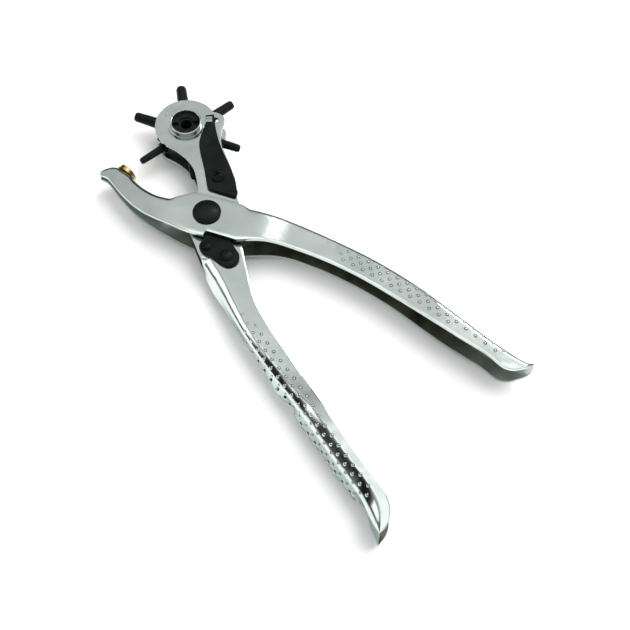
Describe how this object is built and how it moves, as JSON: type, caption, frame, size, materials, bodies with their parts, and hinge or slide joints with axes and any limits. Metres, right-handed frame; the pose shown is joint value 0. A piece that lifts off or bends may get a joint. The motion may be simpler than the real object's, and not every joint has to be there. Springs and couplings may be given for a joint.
{
  "type": "rotary hole punch",
  "caption": "Hand-held rotary hole punch: a lever frame with a brass anvil and a revolving turret of graded punch tubes.",
  "frame": {"origin": "centre of the bounding box in plan, at its lowest point, with the tool lying on its side", "axes": "+Z along the main pivot and the turret's axis, up from the surface the tool lies on; +Y along the tool's longest extent, towards the punch head"},
  "size_m": [0.2084, 0.247, 0.0216],
  "materials": {
    "plated_steel": "bright nickel plating on pressed steel",
    "black_steel": "smooth black coating, semi-gloss",
    "black_oxide": "oil-blackened hardened steel, satin",
    "brass": "turned and polished",
    "spring_steel": "drawn wire",
    "bush_steel": "turned"
  },
  "bodies": {
    "anvil_frame": {"anvil_arm": "plated_steel", "anvil_disc": "brass", "main_pivot_rivet": "black_steel", "opening_spring": "spring_steel"},
    "punch_arm": {"lower_handle": "plated_steel", "link_plate_top": "black_steel", "link_plate_bottom": "black_steel", "link_rivet": "black_steel", "link_screw": "black_steel", "head_tie_rivets": "plated_steel", "pivot_bush": "bush_steel", "head_plate_top": "plated_steel", "head_plate_bottom": "plated_steel", "turret_ring_top": "plated_steel", "turret_ring_bottom": "plated_steel", "neck_spacer": "bush_steel", "lever_screw": "black_steel", "lever_nut": "black_steel"},
    "turret": {"turret_body": "black_oxide", "punch_tube_1": "black_oxide", "punch_tube_2": "black_oxide", "punch_tube_3": "black_oxide", "punch_tube_4": "black_oxide", "punch_tube_5": "black_oxide", "punch_tube_6": "black_oxide"},
    "lever": {"lock_lever": "black_steel", "index_pawl": "plated_steel"}
  },
  "joints": [
    {"name": "squeeze", "type": "hinge", "parent": "anvil_frame", "child": "punch_arm", "pos_m": [-0.04876, 0.0397, 0.0108], "axis": [0, 0, 1], "range_deg": [0, 10], "stiffness_Nm_per_rad": 2, "springref_deg": -14.32, "deforming": ["opening_spring"]},
    {"name": "turret_spin", "type": "hinge", "parent": "punch_arm", "child": "turret", "pos_m": [-0.06163, 0.09448, 0.0108], "axis": [0, 0, 1], "continuous": true},
    {"name": "lever_swing", "type": "hinge", "parent": "punch_arm", "child": "lever", "pos_m": [-0.04396, 0.0611, 0.0108], "axis": [0, 0, 1], "range_deg": [-5, 0], "stiffness_Nm_per_rad": 0.5, "springref_deg": 5.73}
  ]
}
